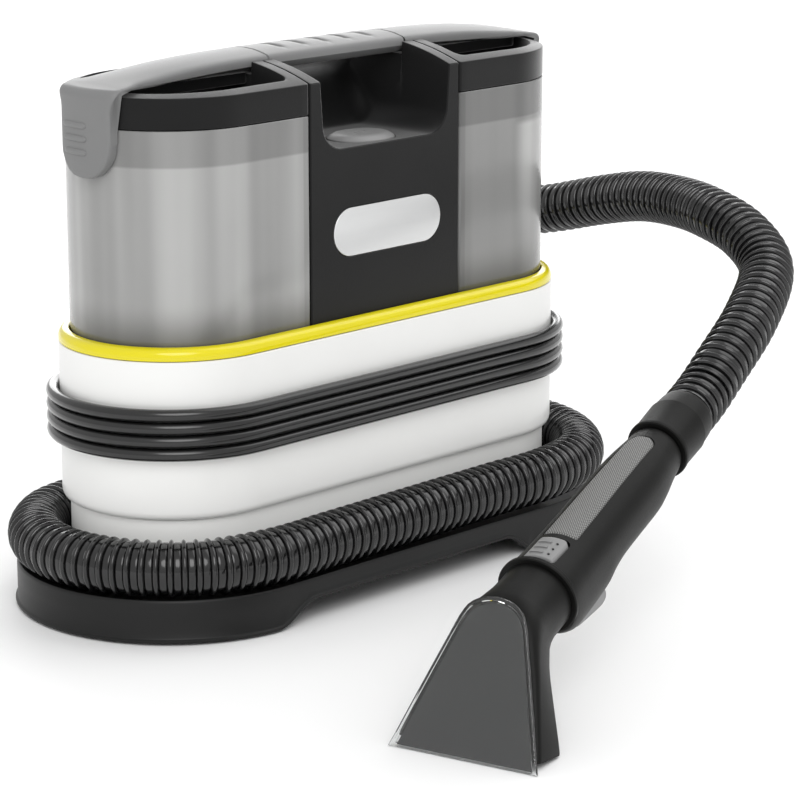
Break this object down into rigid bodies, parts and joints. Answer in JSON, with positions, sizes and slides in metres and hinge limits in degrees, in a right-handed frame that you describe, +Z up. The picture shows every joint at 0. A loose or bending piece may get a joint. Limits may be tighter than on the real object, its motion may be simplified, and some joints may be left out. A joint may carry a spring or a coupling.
{
  "type": "spot extractor",
  "caption": "Portable spot extractor with fresh and dirt tanks either side of a carrying column, hose laid round the base tray and a wide-mouth hand tool.",
  "frame": {"origin": "middle of the flat bottom cover's underside, 2 mm above the floor's zero before packing", "axes": "+Z up; +X from the fresh tank to the dirt tank; -Y to the side with the badge and power button"},
  "size_m": [0.4154, 0.4247, 0.2688],
  "materials": {
    "black_plastic": "satin black moulding",
    "hose": "glossy black ribbed",
    "rubber": "black rubber",
    "pale_grey": "pale grey satin",
    "white": "white satin",
    "yellow": "bright yellow gloss",
    "charcoal": "fine grained charcoal",
    "mid_grey": "mid grey satin",
    "smoke": "smoky translucent plastic",
    "steel": "brushed",
    "brass": "turned brass",
    "board": "green circuit board"
  },
  "bodies": {
    "machine": {"base_tray": "black_plastic", "bottom_cover": "black_plastic", "tank_deck": "black_plastic", "hose_socket": "black_plastic", "fan_cover": "black_plastic", "pump": "black_plastic", "valve_socket": "black_plastic", "inlet_pipe": "black_plastic", "power_switch": "black_plastic", "lead_clip": "black_plastic", "mains_plug": "black_plastic", "foot_front_left": "rubber", "foot_back_left": "rubber", "foot_front_right": "rubber", "foot_back_right": "rubber", "motor_mount": "rubber", "lead_gland": "rubber", "lead_start": "rubber", "lead_coil": "rubber", "lead_end": "rubber", "lower_housing": "pale_grey", "main_housing": "white", "trim_ring": "yellow", "column_front": "charcoal", "column_back": "charcoal", "handle_shell_left": "charcoal", "handle_shell_right": "charcoal", "carry_handle": "mid_grey", "grip_insert": "mid_grey", "solution_tube": "smoke", "badge_plate": "steel", "button_spring": "steel", "suction_motor": "steel", "trigger_pin": "steel", "spray_tip": "brass", "spray_valve": "brass", "circuit_board": "board", "suction_hose": "hose"},
    "power_button": {"power_button": "mid_grey"},
    "fresh_tank_body": {"fresh_tank": "smoke", "fresh_valve": "black_plastic"},
    "fresh_lid_body": {"fresh_lid": "charcoal", "fresh_handle": "mid_grey"},
    "dirt_tank_body": {"dirt_tank": "smoke", "dirt_inlet_duct": "pale_grey"},
    "dirt_lid_body": {"dirt_lid": "charcoal", "dirt_handle": "mid_grey"},
    "float_body": {"dirt_float": "white"},
    "fan_body": {"fan": "black_plastic"},
    "nozzle": {"nozzle_body": "charcoal", "nozzle_window": "smoke"},
    "cuff": {"hose_cuff": "charcoal"},
    "release_button": {"release_button": "mid_grey"},
    "trigger": {"trigger": "mid_grey"}
  },
  "joints": [
    {"name": "power_button_press", "type": "slide", "parent": "machine", "child": "power_button", "axis": [0, 0, -1], "range_m": [0, 0.0025], "stiffness_N_per_m": 600, "springref_m": -0.003, "deforming": ["button_spring"]},
    {"name": "fresh_tank_lift", "type": "slide", "parent": "machine", "child": "fresh_tank_body", "axis": [0, 0, 1], "range_m": [0, 0.145]},
    {"name": "fresh_lid_lift", "type": "slide", "parent": "fresh_tank_body", "child": "fresh_lid_body", "axis": [0, 0, 1], "range_m": [0, 0.03]},
    {"name": "dirt_tank_lift", "type": "slide", "parent": "machine", "child": "dirt_tank_body", "axis": [0, 0, 1], "range_m": [0, 0.145]},
    {"name": "dirt_lid_lift", "type": "slide", "parent": "dirt_tank_body", "child": "dirt_lid_body", "axis": [0, 0, 1], "range_m": [0, 0.08]},
    {"name": "float_rise", "type": "slide", "parent": "dirt_lid_body", "child": "float_body", "axis": [0, 0, 1], "range_m": [0, 0.024]},
    {"name": "fan_spin", "type": "hinge", "parent": "machine", "child": "fan_body", "pos_m": [0.04, 0, 0.1], "axis": [0, 0, 1], "continuous": true},
    {"name": "nozzle_pull_off", "type": "slide", "parent": "machine", "child": "nozzle", "axis": [-0.9261, -0.2258, -0.3024], "range_m": [0, 0.02]},
    {"name": "cuff_swivel", "type": "hinge", "parent": "machine", "child": "cuff", "pos_m": [0.01945, -0.21198, 0.09391], "axis": [0.9261, 0.2258, 0.3024], "continuous": true},
    {"name": "release_button_press", "type": "slide", "parent": "machine", "child": "release_button", "axis": [0.2938, 0.0716, -0.9532], "range_m": [0, 0.002], "stiffness_N_per_m": 500, "springref_m": -0.003},
    {"name": "trigger_pull", "type": "hinge", "parent": "machine", "child": "trigger", "pos_m": [-0.08044, -0.23633, 0.04031], "axis": [0.2368, -0.9715, 0], "range_deg": [0, 6], "stiffness_Nm_per_rad": 0.3, "springref_deg": -28.65}
  ]
}
